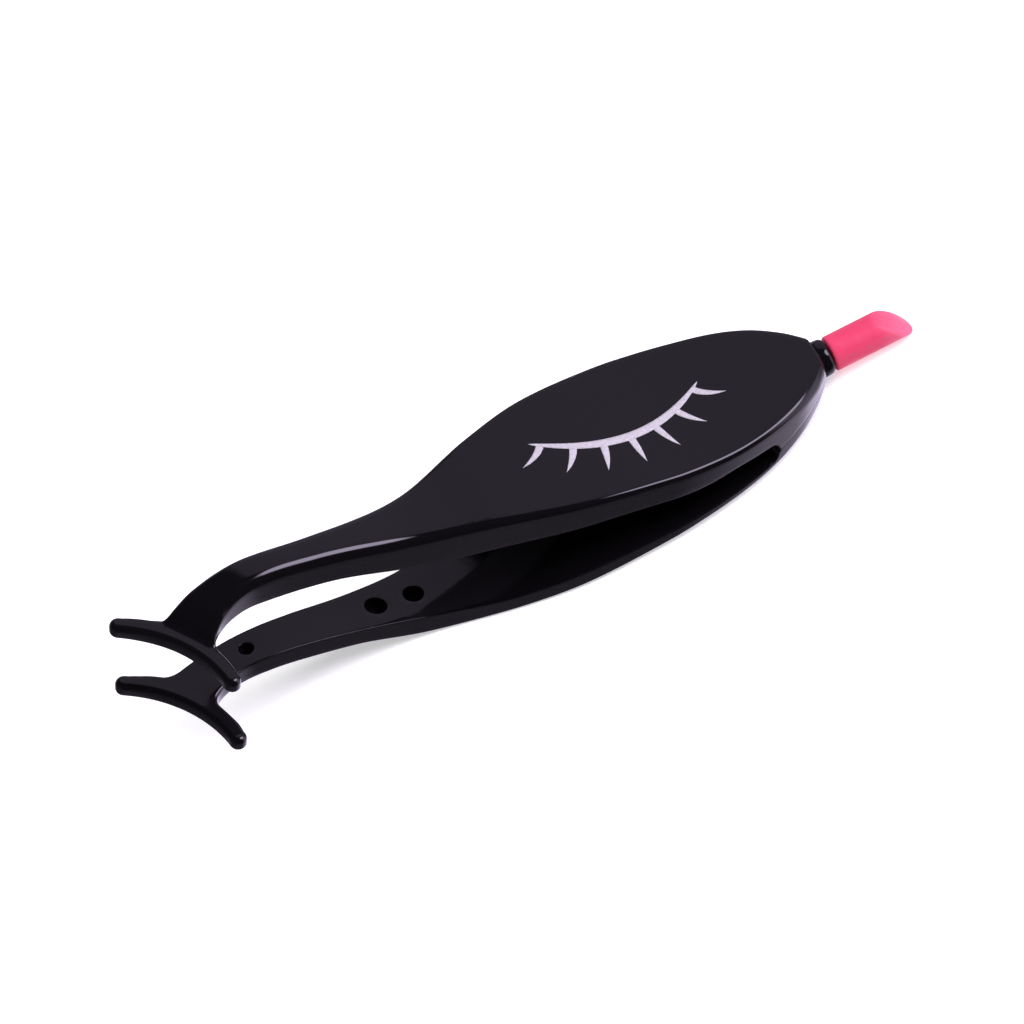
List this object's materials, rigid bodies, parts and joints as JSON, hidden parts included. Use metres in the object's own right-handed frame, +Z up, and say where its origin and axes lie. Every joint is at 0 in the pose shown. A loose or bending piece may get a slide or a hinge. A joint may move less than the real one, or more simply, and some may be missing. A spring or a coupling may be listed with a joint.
{
  "type": "false lash applicator tweezers",
  "caption": "One-hand spring tweezers for false lashes: two bowed arms with leaf-shaped grips and crescent jaws, and a slanted silicone placing tip at the tail.",
  "frame": {"origin": "middle of the bounding box in plan, on the plane the tool rests on", "axes": "+X from the jaws to the silicone tip, +Y across the arms away from the side the jaws turn to, +Z up from the resting plane"},
  "size_m": [0.1306, 0.0278, 0.0297],
  "materials": {
    "black_plastic": "glossy moulded",
    "pink_silicone": "satin, slightly translucent"
  },
  "bodies": {
    "tail": {"tail_block": "black_plastic", "tip_collar": "black_plastic", "tip_stem": "black_plastic", "silicone_tip": "pink_silicone"},
    "upper": {"upper_arm": "black_plastic"},
    "lower": {"lower_arm": "black_plastic"}
  },
  "joints": [
    {"name": "upper_flex", "type": "hinge", "parent": "tail", "child": "upper", "pos_m": [0.03712, 0.00087, 0.00748], "axis": [0, -1, 0], "range_deg": [0, 2.8], "stiffness_Nm_per_rad": 2.6},
    {"name": "lower_flex", "type": "hinge", "parent": "tail", "child": "lower", "pos_m": [0.03566, 0.00087, 0.00176], "axis": [0, 1, 0], "range_deg": [0, 2.8], "stiffness_Nm_per_rad": 2.6}
  ],
  "couplings": [
    {"joint": "lower_flex", "follows": "upper_flex", "ratio": 1}
  ]
}
